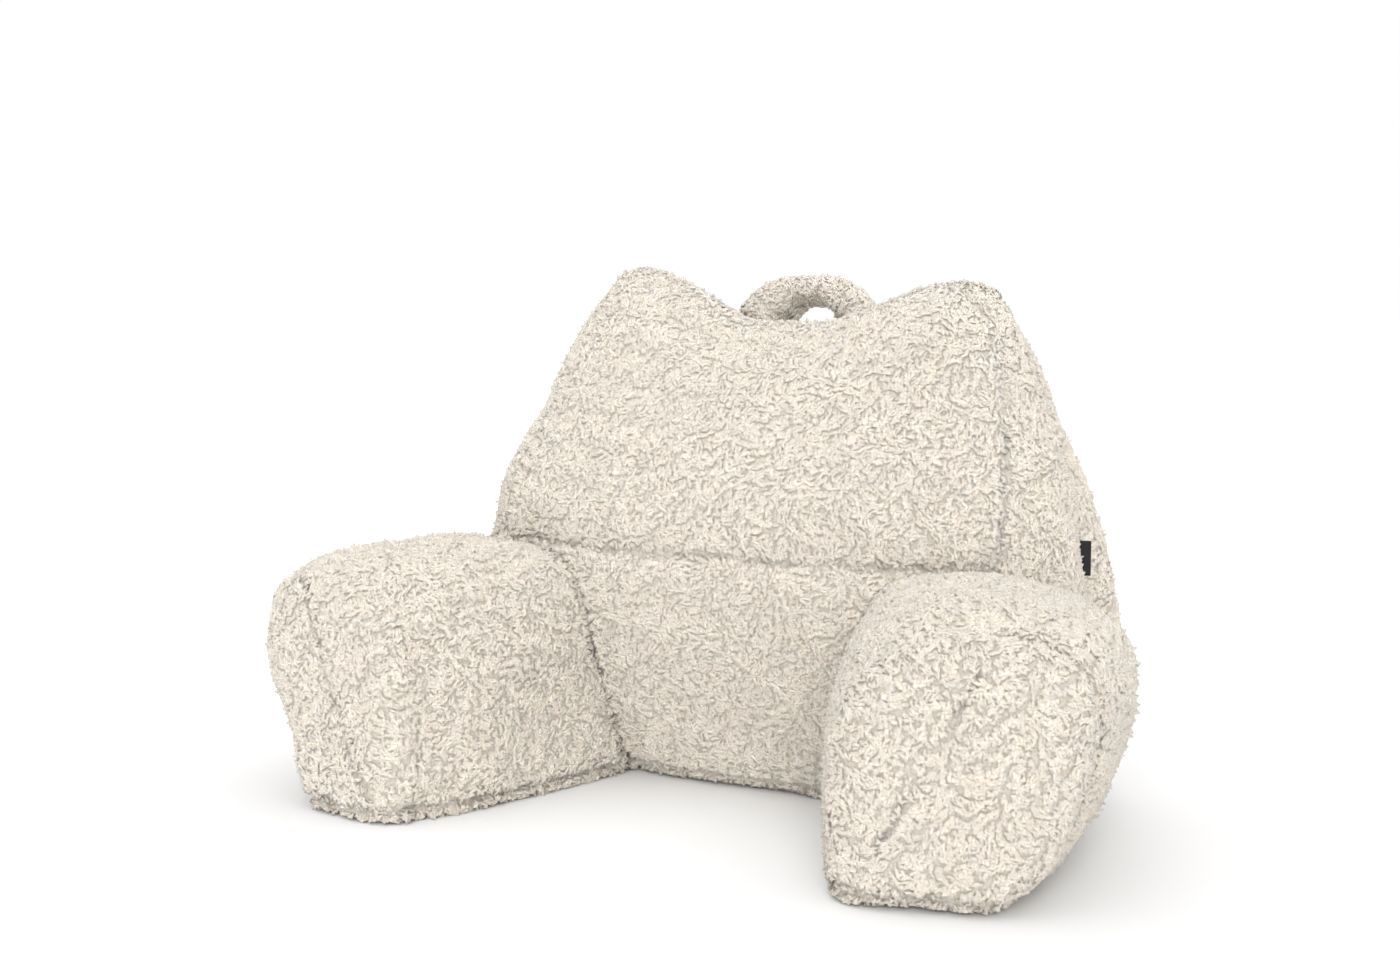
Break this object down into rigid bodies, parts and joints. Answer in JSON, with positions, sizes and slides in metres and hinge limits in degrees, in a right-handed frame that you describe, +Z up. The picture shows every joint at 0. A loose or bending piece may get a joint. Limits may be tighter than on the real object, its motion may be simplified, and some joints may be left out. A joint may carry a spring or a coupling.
{
  "type": "reading pillow with arms",
  "caption": "Wedge-backed reading pillow in cream curly pile with two peaked corners, two stuffed arms, a carry handle behind its top seam and a blank side tab.",
  "frame": {"origin": "on the floor under the middle of the pillow's box", "axes": "+Z up, the reader sits on the -Y side and leans towards +Y, the arms stand at -X and +X"},
  "size_m": [0.7876, 0.44, 0.483],
  "materials": {
    "pile_fabric": "long curly pile, matte",
    "tape": "tightly woven, low sheen"
  },
  "bodies": {
    "root": {"back": "pile_fabric", "arm_left": "pile_fabric", "arm_right": "pile_fabric", "carry_handle": "pile_fabric", "side_label": "tape"}
  },
  "joints": []
}
